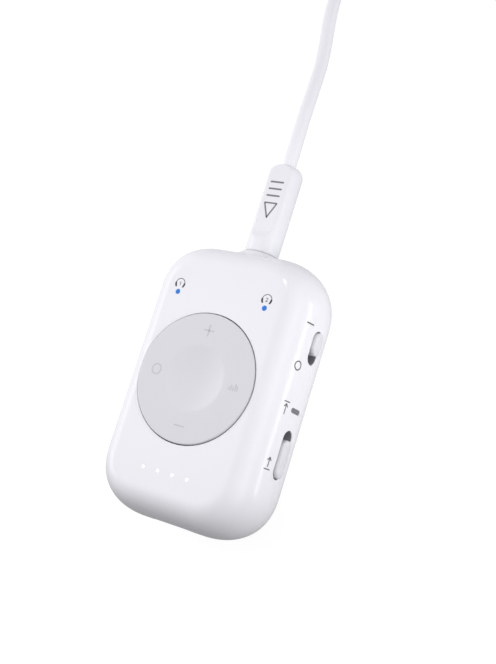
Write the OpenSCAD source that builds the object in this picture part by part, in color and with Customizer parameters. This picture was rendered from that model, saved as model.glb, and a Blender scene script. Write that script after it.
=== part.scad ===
// Pocket wireless audio receiver and transmitter with a stereo cable plugged into its top.
// The case lies on its back: +Z out of the dial face, +X the side with the two slide
// switches, +Y the end with the audio jack. The origin is the middle of the back face.

/* [Case] */
// Width of the case, across the dial
body_w = 33.6; // [33:0.1:36]
// Length of the case, from the port end to the jack end
body_l = 52.4; // [51:0.1:56]
// Thickness of the case
body_t = 18; // [17.8:0.1:18.6]
// Radius of the case's corners seen from the front
corner_r = 10.5; // [9.8:0.1:11]
// How far the rounded edge reaches in over each face
edge_in = 5.2; // [5:0.1:5.6]
// Wall thickness of both case halves
wall = 1.6; // [1.4:0.1:1.8]
// Height of the joint line between the deep front half and the rear cover
seam_z = 2.4; // [2.2:0.1:2.8]

/* [Dial] */
// Diameter of the tilting dial
dial_d = 24.2; // [23:0.1:25]
// How far the dial stands proud of the case
dial_raise = 0.28; // [0.1:0.02:0.4]
// Diameter of the thumb dish in the middle of the dial
dish_d = 12.3; // [10:0.1:13]
// Depth of the thumb dish
dish_depth = 0.7; // [0.4:0.05:0.8]
// Radius at which the dial presses its four tact switches
key_r = 8.75; // [8.5:0.05:9]

/* [Switches] */
// Travel of both slide switches
slide_travel = 1.5; // [1:0.1:1.5]
// Width of the switch slots across the thickness
slot_w = 3.2; // [2.9:0.1:3.3]
// Middle of the power slot along the case
power_y = 11.4; // [11:0.1:12]
// Length of the power knob
power_knob_l = 4.3; // [4:0.1:4.5]
// Middle of the mode slot along the case
mode_y = -8.55; // [-9:0.05:-8]
// Length of the mode knob
mode_knob_l = 7; // [6.5:0.1:7]
// How far the knobs stand proud of the side
knob_raise = 0.75; // [0.3:0.05:0.9]

/* [Connectors] */
// Diameter of the audio plug's pin
pin_d = 3.5; // [3.5:0.1:3.5]
// Length of the audio plug's pin
pin_l = 14; // [13.5:0.1:14]
// Diameter of the plug's housing
housing_d = 6.6; // [6:0.1:7]
// Length of the plug's housing
housing_l = 18.15; // [16:0.05:18.15]
// Width of the charging port's metal shell
port_w = 8.94; // [8.94:0.01:8.94]
// Height of the charging port's metal shell
port_h = 3.26; // [3.26:0.01:3.26]

/* [Cable] */
// Diameter of the stereo cable
cord_d = 2.7; // [2.5:0.1:2.7]
// Mean radius of the coil that holds the spare cable
coil_r = 14.85; // [14.5:0.05:15]

/* [Hidden] */
$fn = 48;

eps = 0.01;                            // overlap that keeps a cut clean
mid_z = body_t / 2;                    // height of the jack, port and switch centre line
front_in = body_t - wall;              // inside of the front wall
gap = 0.1;                             // sliding gap at each end of a knob
seam_gap = 0.1;                        // shadow gap between the case halves
arc_steps = 8;                         // flats in each quarter of the rounded edge
lip_half = [12.7, 22.1];               // the rear cover's lip, inside the front half
lip_r = 6.4;
lip_t = 0.9;

// circuit boards
main_top = mid_z - port_h / 2 - 0.01;  // the port's shell sits on the main board
main_t = 1.0;
main_bot = main_top - main_t;
main_half = [14.0, 22.5];
key_bot = 12.8;
key_t = 0.8;
key_top = key_bot + key_t;
key_half = [13.6, 20.4];
boss_at = [11.3, 19.8];
boss_r = 1.8;
pilot_r = 0.7;

// dial and its pivot
dial_r = dial_d / 2;
dial_top = body_t + dial_raise;
hole_r = dial_r + 0.25;
flange_r = dial_r + 1.0;
flange_z = [front_in - 1.0, front_in - 0.45];
pocket_z = flange_z[0] - 0.4;           // the flange's pocket in the case wall
dial_under = front_in + 0.2;           // ceiling of the hollow under the dial
pivot_z = key_top + 1.3;
pivot_r = 1.25;
tact_top = key_top + 1.0;
plunger_top = tact_top + 0.35;
foot_z = plunger_top + 0.2;            // leaves room for the dial's full tilt
foot_r = 1.0;

// lights
blue_at = [9.5, 15.0];
blue_r = 0.475;
battery_pitch = 3.2;
battery_light_y = -17.6;
battery_light_r = 0.33;
guide_z = key_top + 0.8;               // underside of the light guides

// switches, seen along X from the middle of the case
side_in = body_w / 2 - wall;           // inside of the side wall
liner_x = [side_in - 0.8, side_in - 0.5];
knob_root = liner_x[1] + 0.1;
knob_face = body_w / 2 + knob_raise;
tail_x = [liner_x[0] - 1.05, liner_x[0] - 0.15];
can_x = [tail_x[0] - 4, tail_x[0] - 0.4];
can_l = 6.6;
can_t = 0.2;
lever_w = 1.0;
lever_h = 1.2;
power_rest = power_y + slide_travel / 2;
mode_rest = mode_y - slide_travel / 2;
slot_len = function(knob_l) knob_l + slide_travel + 2 * gap;

// microphone port
mic_y = -0.5;
mic_l = 3.4;
mic_w = 0.9;

// audio jack and plug, along Y
pin_r = pin_d / 2;
bore_r = pin_r + 0.05;
collar_top = body_l / 2 + 0.5;
plug_face = body_l / 2 + 0.65;
jack_y = [plug_face - pin_l - 1, body_l / 2 - wall - 0.5];
jack_half = [3.0, 2.8];

// cable route: straight out of the plug, down to the table, on to the coil
lead_route = [
  [0, 45, 9], [0, 47, 9], [-0.3, 51, 8.6], [-1, 56, 7.6], [-2, 61, 5.9],
  [-3.1, 66, 4.0], [-4.2, 71, 2.3], [-5.2, 76, 1.5], [-6, 81, 1.4], [-6.4, 86, 1.4],
  [-6.5, 91, 1.4], [-6.5, 96, 1.5], [-6.5, 101, 1.6], [-6.5, 106, 1.65]
];
tail_route = [
  [9.7, 89.8, 4.35], [5, 89.8, 4.35], [0, 89.8, 4.35], [-5, 89.8, 4.35],
  [-8.1, 90.4, 4.3], [-10.7, 92.1, 4.0], [-12.4, 94.7, 3.6], [-13, 97.8, 3.4],
  [-13, 100, 3.35]
];
cord_r = cord_d / 2;
cord_sides = 8;
coil_at = [9.7, 106, 0.3];
tie_t = 0.25;
tie_angle = 11;
far_at = [-13, 100, 3.35];

// ---- shared shapes ----------------------------------------------------------

// half of the edge profile: a half ellipse that bulges out to radius r at height 0
function edge_profile(r, reach, half_t) = concat(
  [[0, -half_t]],
  [for (i = [-arc_steps : arc_steps])
    let (a = 90 * i / arc_steps)
    [r - reach + reach * cos(a), half_t * sin(a)]],
  [[0, half_t]]
);

// pebble: a rounded rectangle whose edge is a half ellipse, centred on the case
module pebble(inset, reach) {
  r = corner_r - inset;
  x = body_w / 2 - corner_r;
  y = body_l / 2 - corner_r;
  translate([0, 0, mid_z])
    hull()
      for (sx = [-x, x], sy = [-y, y])
        translate([sx, sy, 0])
          rotate_extrude($fn = 32)
            polygon(edge_profile(r, reach, body_t / 2 - inset));
}

// flat plate with round corners, from z = 0 up
module plate(hx, hy, r, t) {
  linear_extrude(t)
    union() {
      square([2 * hx, 2 * (hy - r)], center = true);
      square([2 * (hx - r), 2 * hy], center = true);
      for (sx = [-1, 1], sy = [-1, 1])
        translate([sx * (hx - r), sy * (hy - r)])
          circle(r);
    }
}

// box given by its lowest and highest corners
module block(a, b) {
  translate(a)
    cube(b - a);
}

// bar with round ends: l long along local X, w wide, t deep along Z
module stadium(l, w, t) {
  linear_extrude(t)
    union() {
      square([l - w, w], center = true);
      for (s = [-1, 1])
        translate([s * (l - w) / 2, 0])
          circle(w / 2);
    }
}

// stadium that lies along Y in the side wall and is pushed in along +X
module side_stadium(x0, x1, y, l, w) {
  translate([x0, y, mid_z])
    rotate([90, 0, 90])
      stadium(l, w, x1 - x0);
}

// stadium that stands across the thickness in the side wall
module mic_stadium(x0, x1, l, w) {
  translate([x0, mic_y, mid_z])
    rotate([0, 90, 0])
      stadium(l, w, x1 - x0);
}

// stadium across the width in the port end, pushed in along +Y
module port_stadium(y0, y1, l, w) {
  translate([0, y1, mid_z])
    rotate([90, 0, 0])
      stadium(l, w, y1 - y0);
}

module along_y(y0, y1, r) {
  translate([0, y1, mid_z])
    rotate([90, 0, 0])
      cylinder(r = r, h = y1 - y0);
}

module at_corners() {
  for (sx = [-1, 1], sy = [-1, 1])
    translate([sx * boss_at[0], sy * boss_at[1], 0])
      children();
}

module at_keys() {
  for (a = [0 : 90 : 270])
    rotate(a)
      translate([key_r, 0, 0])
        children();
}

// tube of the cable's diameter along a list of points
function unit(v) = v / norm(v);
function heading(p, i) = unit(p[min(i + 1, len(p) - 1)] - p[max(i - 1, 0)]);
function cord_ring(p, i) =
  let (
    d = heading(p, i),
    side = unit(cross(d, [0, 0, 1])),
    up = cross(side, d)
  )
  [for (k = [0 : cord_sides - 1])
    let (a = 360 * k / cord_sides)
    p[i] + cord_r * (cos(a) * side + sin(a) * up)];

module cord_tube(route) {
  n = len(route);
  s = cord_sides;
  points = [for (i = [0 : n - 1]) each cord_ring(route, i)];
  sides = [
    for (i = [0 : n - 2], k = [0 : s - 1])
      let (a = i * s + k, b = i * s + (k + 1) % s)
      each [[a, b, b + s], [a, b + s, a + s]]
  ];
  ends = [
    [for (k = [0 : s - 1]) s - 1 - k],
    [for (k = [0 : s - 1]) (n - 1) * s + k]
  ];
  polyhedron(points, concat(sides, ends));
}

// ---- case -------------------------------------------------------------------

module side_openings() {
  side_stadium(liner_x[1], body_w, power_y, slot_len(power_knob_l), slot_w);
  side_stadium(liner_x[1], body_w, mode_y, slot_len(mode_knob_l), slot_w);
  mic_stadium(liner_x[1], body_w, mic_l, mic_w);
}

module front_shell() {
  color("white")
    difference() {
      union() {
        difference() {
          pebble(0, edge_in);
          pebble(wall, edge_in - 1.2);
          translate([0, 0, seam_z - body_t])
            linear_extrude(body_t)
              square([2 * body_w, 2 * body_l], center = true);
        }
        at_corners()
          translate([0, 0, main_top])
            cylinder(r = boss_r, h = 15 - main_top);
        translate([0, body_l / 2 - wall, mid_z])
          rotate([-90, 0, 0])
            cylinder(r1 = 4.7, r2 = 3.6, h = collar_top - body_l / 2 + wall);
      }
      translate([0, 0, front_in - eps])
        cylinder(r = hole_r, h = 2 * wall, $fn = 96);
      for (s = [-1, 1])
        translate([s * blue_at[0], blue_at[1], front_in - 1])
          cylinder(r = blue_r + 0.02, h = 4);
      for (i = [-1.5 : 1 : 1.5])
        translate([i * battery_pitch, battery_light_y, front_in - 1])
          cylinder(r = battery_light_r + 0.02, h = 4);
      translate([0, 0, pocket_z])
        cylinder(r = flange_r + 0.2, h = front_in - pocket_z);
      at_corners()
        translate([0, 0, main_top - eps])
          cylinder(r = pilot_r, h = 4.5);
      along_y(body_l / 2 - wall - 1, body_l, 2.7);
      port_stadium(-body_l, -body_l / 2 + wall + 1, port_w + 0.4, port_h + 0.4);
      side_openings();
    }
}

module rear_cover() {
  color("white") {
    difference() {
      pebble(0, edge_in);
      pebble(wall, edge_in - 1.2);
      translate([0, 0, seam_z - seam_gap])
        linear_extrude(body_t)
          square([2 * body_w, 2 * body_l], center = true);
    }
    difference() {
      translate([0, 0, wall - 0.2])
        plate(lip_half[0], lip_half[1], lip_r, seam_z + 1.8 - wall + 0.2);
      translate([0, 0, wall - 0.4])
        plate(lip_half[0] - lip_t, lip_half[1] - lip_t, lip_r - lip_t, seam_z + 4);
    }
  }
}

// ---- dial -------------------------------------------------------------------

// half section of the dial: flat ring, dished middle, flange under the case wall
function dish_z(r) = dial_top - dish_depth * (1 + cos(180 * r / (dish_d / 2))) / 2;

module nav_disc() {
  dish = [for (i = [0 : 12]) let (r = i * dish_d / 24) [r, dish_z(r)]];
  color("gainsboro")
    difference() {
      union() {
        rotate_extrude($fn = 96)
          polygon(concat(dish, [
            [dial_r - 0.2, dial_top], [dial_r, dial_top - 0.2], [dial_r, flange_z[1]],
            [flange_r, flange_z[1]], [flange_r, flange_z[0]], [dial_r - 1, flange_z[0]],
            [dial_r - 1, dial_under], [2.4, dial_under], [2.4, pivot_z + 0.1],
            [0, pivot_z + 0.1]
          ]));
        at_keys()
          translate([0, 0, foot_z])
            cylinder(r = foot_r, h = dial_under - foot_z + 0.3);
      }
      translate([0, 0, pivot_z])
        sphere(pivot_r + 0.05);
    }
}

module pivot_ball() {
  color("dimgray")
    translate([0, 0, pivot_z])
      sphere(pivot_r);
}

module pivot_socket() {
  color("black")
    difference() {
      translate([0, 0, key_top])
        cylinder(r = 2.1, h = 0.9);
      translate([0, 0, pivot_z])
        sphere(pivot_r + 0.05);
    }
}

module tact_switches() {
  color("silver")
    at_keys()
      difference() {
        translate([-1.75, -1.75, key_top])
          cube([3.5, 3.5, tact_top - key_top]);
        translate([0, 0, key_top + 0.4])
          cylinder(r = 0.8, h = 2);
      }
}

module tact_plungers() {
  color("black")
    at_keys()
      translate([0, 0, key_top + 0.45])
        cylinder(r = 0.72, h = plunger_top - key_top - 0.45);
}

// ---- boards and lights ------------------------------------------------------

module key_pcb() {
  color("darkgreen")
    difference() {
      translate([0, 0, key_bot])
        plate(key_half[0], key_half[1], 6, key_t);
      at_corners()
        translate([0, 0, key_bot - 1])
          cylinder(r = boss_r + 0.3, h = key_t + 2);
    }
}

module blue_led_lenses() {
  color("dodgerblue")
    for (s = [-1, 1])
      translate([s * blue_at[0], blue_at[1], 0]) {
        translate([0, 0, guide_z])
          cylinder(r = blue_r, h = body_t - guide_z);
        translate([0, 0, guide_z])
          cylinder(r = 1.0, h = 0.6);
      }
}

module battery_light_guide() {
  color("whitesmoke")
    union() {
      block([-2 * battery_pitch, battery_light_y - 0.7, guide_z],
            [2 * battery_pitch, battery_light_y + 0.7, guide_z + 0.8]);
      for (i = [-1.5 : 1 : 1.5])
        translate([i * battery_pitch, battery_light_y, guide_z + 0.8 - eps])
          cylinder(r = battery_light_r, h = body_t - guide_z - 0.8 + eps);
    }
}

module led_chip() {
  translate([-0.8, -0.4, key_top])
    cube([1.6, 0.8, 0.6]);
}

module blue_leds() {
  color("lightyellow")
    for (s = [-1, 1])
      translate([s * blue_at[0], blue_at[1], 0])
        led_chip();
}

module battery_leds() {
  color("lightyellow")
    for (i = [-1.5 : 1 : 1.5])
      translate([i * battery_pitch, battery_light_y, 0])
        led_chip();
}

module board_connector() {
  color("black")
    block([-12, 15, main_top], [-6, 17.5, key_bot]);
}

module main_pcb() {
  color("darkgreen")
    difference() {
      translate([0, 0, main_bot])
        plate(main_half[0], main_half[1], 6.5, main_t);
      at_corners()
        translate([0, 0, main_bot - 1])
          cylinder(r = pilot_r + 0.15, h = main_t + 2);
      block([-jack_half[0] - 0.15, jack_y[0] - 0.15, main_bot - 1],
            [jack_half[0] + 0.15, body_l, main_top + 1]);
    }
}

module pcb_screws() {
  color("silver")
    at_corners() {
      difference() {
        translate([0, 0, main_bot - 0.7])
          cylinder(r = 1.3, h = 0.7);
        translate([-0.9, -0.15, main_bot - 1])
          cube([1.8, 0.3, 0.6]);
        translate([-0.15, -0.9, main_bot - 1])
          cube([0.3, 1.8, 0.6]);
      }
      translate([0, 0, main_bot - eps])
        cylinder(r = pilot_r - 0.05, h = main_t + 3.5);
    }
}

module bluetooth_chip() {
  color("black")
    block([-8, -3, main_top], [-2, 3, main_top + 0.9]);
}

module shield_can() {
  color("silver")
    difference() {
      block([-11, -6, main_top], [1, 7, main_top + 1.8]);
      block([-10.8, -5.8, main_top - 1], [0.8, 6.8, main_top + 1.6]);
    }
}

module chip_antenna() {
  color("ivory")
    block([-13.2, 9, main_top], [-11.6, 12.2, main_top + 1.1]);
}

module codec_chip() {
  color("black")
    block([3.4, 3.6, main_top], [7.4, 7.6, main_top + 0.85]);
}

module charger_chip() {
  color("black")
    block([-9, -16.6, main_top], [-6, -13.6, main_top + 0.85]);
}

module board_passives() {
  color("tan") {
    for (i = [0 : 4])
      block([3.2 + 1.3 * i, 9.2, main_top], [3.7 + 1.3 * i, 10.2, main_top + 0.5]);
    for (i = [0 : 5])
      block([-9.5 + 1.3 * i, -9.6, main_top], [-9 + 1.3 * i, -8.6, main_top + 0.5]);
  }
  color("dimgray")
    block([-4, -16.6, main_top], [-1, -13.6, main_top + 1.3]);
  color("silver")
    block([-1.6, 3.4, main_top], [0.4, 5.9, main_top + 0.7]);
}

// ---- battery ----------------------------------------------------------------

module battery_cell() {
  color("silver")
    translate([0, -2.5, wall + 0.15])
      plate(11, 16.5, 1.2, 3.35);
}

module battery_foam() {
  color("dimgray")
    translate([0, -2.5, wall])
      plate(9.5, 15, 1, 0.15);
}

module protection_board() {
  color("darkgreen")
    block([-9, 14, wall + 0.5], [5, 16.2, wall + 2.5]);
}

// wire out of the protection board along +Y, then up to the main board
module battery_lead(x) {
  r = 0.4;
  bend = 1.2;
  y = 17.2;
  z = wall + 1.5;
  translate([x, 16.2, z])
    rotate([-90, 0, 0])
      cylinder(r = r, h = y - 16.2, $fn = 24);
  translate([x, y, z + bend])
    rotate([90, 90, 90])
      rotate_extrude(angle = 90, $fn = 24)
        translate([bend, 0])
          circle(r);
  translate([x, y + bend, z + bend])
    cylinder(r = r, h = main_bot - z - bend, $fn = 24);
}

module battery_lead_red() {
  color("red")
    battery_lead(-7);
}

module battery_lead_black() {
  color("black")
    battery_lead(-5);
}

// ---- connectors -------------------------------------------------------------

module contact_slot(y, side, grow) {
  block([min(side * 1.85, side * 3.5), y - 0.5 - grow, mid_z - 0.7 - grow],
        [max(side * 1.85, side * 3.5), y + 0.5 + grow, mid_z + 0.7 + grow]);
}

module audio_jack() {
  color("dimgray")
    difference() {
      union() {
        block([-jack_half[0], jack_y[0], mid_z - jack_half[1]],
              [jack_half[0], jack_y[1], mid_z + jack_half[1]]);
        along_y(jack_y[1] - 1, body_l / 2 + 0.2, 2.6);
      }
      along_y(jack_y[0] + 0.5, body_l, bore_r);
      contact_slot(14.4, 1, 0.05);
      contact_slot(17.8, -1, 0.05);
      contact_slot(22.4, 1, 0.05);
    }
}

module jack_contacts() {
  color("gold") {
    contact_slot(14.4, 1, 0);
    contact_slot(17.8, -1, 0);
    contact_slot(22.4, 1, 0);
  }
}

usb_y = [-body_l / 2 + 0.35, -body_l / 2 + 7.7];

module usb_shell() {
  color("silver")
    difference() {
      port_stadium(usb_y[0], usb_y[1], port_w, port_h);
      port_stadium(usb_y[0] - 1, usb_y[1] - 0.4, port_w - 0.6, port_h - 0.6);
    }
}

module usb_tongue() {
  color("black")
    union() {
      block([-3.35, usb_y[0] + 1.2, mid_z - 0.35], [3.35, usb_y[1] - 2, mid_z + 0.35]);
      port_stadium(usb_y[1] - 2.2, usb_y[1] - 0.5, port_w - 0.9, port_h - 0.9);
    }
}

module usb_contacts() {
  color("gold")
    for (i = [-5.5 : 1 : 5.5], s = [-1, 1])
      translate([i * 0.5 - 0.125, usb_y[0] + 1.5, mid_z + (s > 0 ? 0.35 : -0.4)])
        cube([0.25, 3.2, 0.05]);
}

module mic_grille() {
  color("gray")
    mic_stadium(side_in, body_w / 2 - 0.15, mic_l - 0.06, mic_w - 0.06);
}

module microphone() {
  color("silver")
    block([can_x[0] + 1, mic_y - 1.9, main_top], [can_x[1], mic_y + 1.9, main_top + 1.1]);
}

module mic_gasket() {
  color("black")
    block([can_x[1] + 0.1, mic_y - 1.1, main_top], [liner_x[1], mic_y + 1.1, mid_z + 1.8]);
}

// ---- slide switches ---------------------------------------------------------

module slide_knob(y, l) {
  color("whitesmoke")
    difference() {
      union() {
        side_stadium(knob_root, knob_face, y, l, slot_w - 0.3);
        block([tail_x[1] - eps, y - 1, mid_z - 0.7], [knob_root + eps, y + 1, mid_z + 0.7]);
        block([tail_x[0], y - 1.8, mid_z - 1.5], [tail_x[1], y + 1.8, mid_z + 1.5]);
      }
      block([tail_x[0] - 1, y - lever_w / 2 - 0.05, mid_z - lever_h / 2 - 0.05],
            [tail_x[1], y + lever_w / 2 + 0.05, mid_z + lever_h / 2 + 0.05]);
    }
}

module slide_lever(y) {
  color("black")
    union() {
      block([can_x[0] + 0.6, y - 1.2, main_top + 1.0], [can_x[1] - 0.4, y + 1.2, main_top + 2.6]);
      block([can_x[1] - 0.5, y - lever_w / 2, mid_z - lever_h / 2],
            [tail_x[1] - 0.05, y + lever_w / 2, mid_z + lever_h / 2]);
    }
}

module slide_can(y) {
  color("silver")
    difference() {
      block([can_x[0], y - can_l / 2, main_top], [can_x[1], y + can_l / 2, main_top + 3.2]);
      block([can_x[0] + can_t, y - can_l / 2 + can_t, main_top - 1],
            [can_x[1] - can_t, y + can_l / 2 - can_t, main_top + 3.2 - can_t]);
      block([can_x[1] - 1, y - 1.45, mid_z - 0.8], [can_x[1] + 1, y + 1.45, mid_z + 0.8]);
    }
}

module slide_base(y) {
  color("black")
    block([can_x[0] + 0.25, y - can_l / 2 + 0.25, main_top],
          [can_x[1] - 0.25, y + can_l / 2 - 0.25, main_top + 0.7]);
}

// dark plate behind a slot, with a window for the knob's stem
module slot_liner(y, l) {
  color("dimgray")
    difference() {
      block([liner_x[0], y - l / 2 - 1.2, mid_z - 2.4], [liner_x[1], y + l / 2 + 1.2, mid_z + 2.4]);
      block([liner_x[0] - 1, y - 1.9, mid_z - 0.85], [liner_x[1] + 1, y + 1.9, mid_z + 0.85]);
    }
}

module power_knob() { slide_knob(power_rest, power_knob_l); }
module power_lever() { slide_lever(power_rest); }
module power_switch_can() { slide_can(power_y); }
module power_switch_base() { slide_base(power_y); }
module power_slot_liner() { slot_liner(power_y, slot_len(power_knob_l)); }

module mode_knob() { slide_knob(mode_rest, mode_knob_l); }
module mode_lever() { slide_lever(mode_rest); }
module mode_switch_can() { slide_can(mode_y); }
module mode_switch_base() { slide_base(mode_y); }
module mode_slot_liner() { slot_liner(mode_y, slot_len(mode_knob_l)); }

// ---- audio plug: drawn with its pin along -Z from the housing's face at z = 0 --

sleeve_end = -7.3;
ring_end = -10.3;
plug_break = 0.6;                      // length of each insulating band
root_r = 1.4;                          // the sleeve's root, moulded into the housing

module plug_housing_shape() {
  r = housing_d / 2;
  difference() {
    rotate_extrude()
      polygon(concat(
        [[0, 0], [r - 0.2, 0], [r, 0.2]],
        [for (a = [0 : 15 : 75])
          [r - 1.9 + 1.9 * cos(a), housing_l - 1.9 + 1.9 * sin(a)]],
        [[r - 1.9, housing_l], [0, housing_l]]
      ));
    translate([0, 0, -eps])
      cylinder(r = root_r + 0.01, h = 5);
  }
}

module plug_sleeve_shape() {
  translate([0, 0, sleeve_end])
    cylinder(r = pin_r, h = -sleeve_end);
  translate([0, 0, -eps])
    cylinder(r = root_r, h = 4.9);
}

module plug_ring_shape() {
  translate([0, 0, ring_end])
    cylinder(r = pin_r, h = sleeve_end - plug_break - ring_end);
}

module plug_insulator_shape() {
  for (z = [sleeve_end, ring_end])
    translate([0, 0, z - plug_break])
      cylinder(r = pin_r, h = plug_break);
}

module plug_tip_shape() {
  top = ring_end - plug_break;
  rotate_extrude()
    polygon([
      [0, top], [pin_r, top], [pin_r, top - 0.3], [1.25, top - 0.9],
      [1.2, top - 1.2], [pin_r - 0.05, top - 1.8], [0.5, -pin_l + 0.1],
      [0.3, -pin_l], [0, -pin_l]
    ]);
}

// near plug: the housing points +Y, the pin is in the jack
module in_jack() {
  translate([0, plug_face, mid_z])
    rotate([-90, 0, 0])
      children();
}

// far plug: lies on the table beside the coil, pin towards +Y
module on_table() {
  translate(far_at)
    rotate([90, 0, 0])
      translate([0, 0, -housing_l])
        children();
}

module plug_housing() { color("white") in_jack() plug_housing_shape(); }
module plug_sleeve() { color("gold") in_jack() plug_sleeve_shape(); }
module plug_ring() { color("gold") in_jack() plug_ring_shape(); }
module plug_tip() { color("gold") in_jack() plug_tip_shape(); }
module plug_insulators() { color("black") in_jack() plug_insulator_shape(); }

module far_plug_housing() { color("white") on_table() plug_housing_shape(); }
module far_plug_sleeve() { color("gold") on_table() plug_sleeve_shape(); }
module far_plug_ring() { color("gold") on_table() plug_ring_shape(); }
module far_plug_tip() { color("gold") on_table() plug_tip_shape(); }
module far_plug_insulators() { color("black") on_table() plug_insulator_shape(); }

// ---- cable ------------------------------------------------------------------

module cord_lead() { color("white") cord_tube(lead_route); }
module cord_tail() { color("white") cord_tube(tail_route); }

// coil: two turns side by side and two layers, as one ring
module cord_coil() {
  color("white")
    translate(coil_at)
      rotate_extrude($fn = 64)
        translate([coil_r - cord_d, 0])
          square(2 * cord_d);
}

// tie: a band round the coil's section
module cord_tie() {
  color("gray")
    translate(coil_at)
      rotate([0, 0, -tie_angle / 2])
        rotate_extrude(angle = tie_angle, $fn = 64)
          difference() {
            translate([coil_r - cord_d - tie_t, -tie_t])
              square(2 * cord_d + 2 * tie_t);
            translate([coil_r - cord_d, 0])
              square(2 * cord_d);
          }
}

front_shell();
rear_cover();
nav_disc();
pivot_ball();
pivot_socket();
tact_switches();
tact_plungers();
key_pcb();
blue_led_lenses();
battery_light_guide();
blue_leds();
battery_leds();
board_connector();
main_pcb();
pcb_screws();
bluetooth_chip();
shield_can();
chip_antenna();
codec_chip();
charger_chip();
board_passives();
battery_cell();
battery_foam();
protection_board();
battery_lead_red();
battery_lead_black();
audio_jack();
jack_contacts();
usb_shell();
usb_tongue();
usb_contacts();
mic_grille();
microphone();
mic_gasket();
power_knob();
power_lever();
power_switch_can();
power_switch_base();
power_slot_liner();
mode_knob();
mode_lever();
mode_switch_can();
mode_switch_base();
mode_slot_liner();
plug_housing();
plug_sleeve();
plug_ring();
plug_tip();
plug_insulators();
cord_lead();
cord_coil();
cord_tail();
cord_tie();
far_plug_housing();
far_plug_sleeve();
far_plug_ring();
far_plug_tip();
far_plug_insulators();
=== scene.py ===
# %% [markdown]
# # A pocket wireless audio receiver
# The real object is a white glossy pebble that fits in a palm: a deep front shell, a thin
# rear cover, a grey dial that tilts under the thumb, two slide switches on one side and a
# stereo plug pushed into its top. The CAD frame already holds every part at its true size.
# This lesson builds the surfaces that catch the light, one piece at a time, and leaves
# every size as the frame has it.

# %% Load the frame
import math

import bmesh
import bpy
import numpy as np
from mathutils import Matrix, Vector


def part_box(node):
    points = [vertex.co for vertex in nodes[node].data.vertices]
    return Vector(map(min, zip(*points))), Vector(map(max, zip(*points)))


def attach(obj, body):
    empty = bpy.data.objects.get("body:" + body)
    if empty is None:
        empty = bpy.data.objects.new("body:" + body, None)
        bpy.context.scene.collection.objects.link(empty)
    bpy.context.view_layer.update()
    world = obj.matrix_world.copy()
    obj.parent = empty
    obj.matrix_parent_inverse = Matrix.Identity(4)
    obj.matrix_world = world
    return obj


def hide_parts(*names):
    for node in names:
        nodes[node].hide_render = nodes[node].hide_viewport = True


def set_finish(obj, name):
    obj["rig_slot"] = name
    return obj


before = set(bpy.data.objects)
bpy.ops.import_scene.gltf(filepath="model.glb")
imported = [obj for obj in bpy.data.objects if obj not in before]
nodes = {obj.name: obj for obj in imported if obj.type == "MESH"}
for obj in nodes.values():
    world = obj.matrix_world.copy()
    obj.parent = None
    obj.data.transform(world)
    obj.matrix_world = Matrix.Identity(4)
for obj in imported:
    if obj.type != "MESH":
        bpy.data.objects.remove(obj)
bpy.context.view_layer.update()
MM = 0.001                       # the lesson's lengths are millimetres, Blender's are metres

# %% [markdown]
# ## Camera
# A product camera stands high on the switch side and is rolled, so the case leans across
# the picture. It could be placed by hand; here it is an orbit round a point of interest:
# a direction, a distance, then a roll about the line of sight. The numbers stay readable.

# %% Camera
AIM = Vector((2.32, 11.85, 9.1)) * MM
TOWARDS_CAMERA = Vector((0.5154, -0.1549, 0.8429)).normalized()
DISTANCE = 191.0 * MM
ROLL = math.radians(-58.42)

camera_data = bpy.data.cameras.new("camera")
camera_data.lens = 55.36
camera_data.sensor_width = 36
camera_data.clip_start = 0.005
camera = bpy.data.objects.new("camera", camera_data)
bpy.context.scene.collection.objects.link(camera)
look = TOWARDS_CAMERA.to_track_quat("Z", "Y").to_matrix() @ Matrix.Rotation(ROLL, 3, "Z")
camera.matrix_world = Matrix.Translation(AIM + DISTANCE * TOWARDS_CAMERA) @ look.to_4x4()
bpy.context.scene.camera = camera
print("camera at", [round(c / MM, 1) for c in camera.location])

# %% [markdown]
# ## Helpers for meshes
# Most pieces here are skins stretched over closed loops of points, as a boat's planks
# are stretched over frames. A loop is one row of an array, so a whole piece is worked out
# as one array and handed to Blender in one call. A first or last loop may shrink to a
# point, which closes the end with a fan.


# %% Small helpers
def box_mm(node):
    """Lowest and highest corner of a CAD node, in millimetres."""
    return [np.array(corner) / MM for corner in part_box(node)]


def new_object(name, data):
    """Makes an object of some data and puts it in the scene."""
    made = bpy.data.objects.new(name, data)
    bpy.context.scene.collection.objects.link(made)
    return made


def circle(count):
    """Unit directions at even angles round one turn."""
    a = np.linspace(0, 2 * math.pi, count, endpoint=False)
    return np.stack([np.cos(a), np.sin(a)], -1)


# %% Skin over loops
def grid_faces(rows, columns, first=0):
    """Quads between neighbouring rows of a grid whose columns close on themselves:
    corner numbers are row * columns + column, and the next column wraps round."""
    row, column = np.meshgrid(np.arange(rows - 1), np.arange(columns), indexing="ij")
    beside = (column + 1) % columns
    quads = np.stack([row * columns + column, row * columns + beside,
                      (row + 1) * columns + beside, (row + 1) * columns + column], -1)
    return quads.reshape(-1, 4) + first


def cap_faces(ring, centre, flip):
    """Triangles from each side of a ring of point numbers to one centre point."""
    after = np.roll(ring, -1)
    hub = np.full_like(ring, centre)
    return np.stack([after, ring, hub] if flip else [ring, after, hub], -1)


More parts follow.
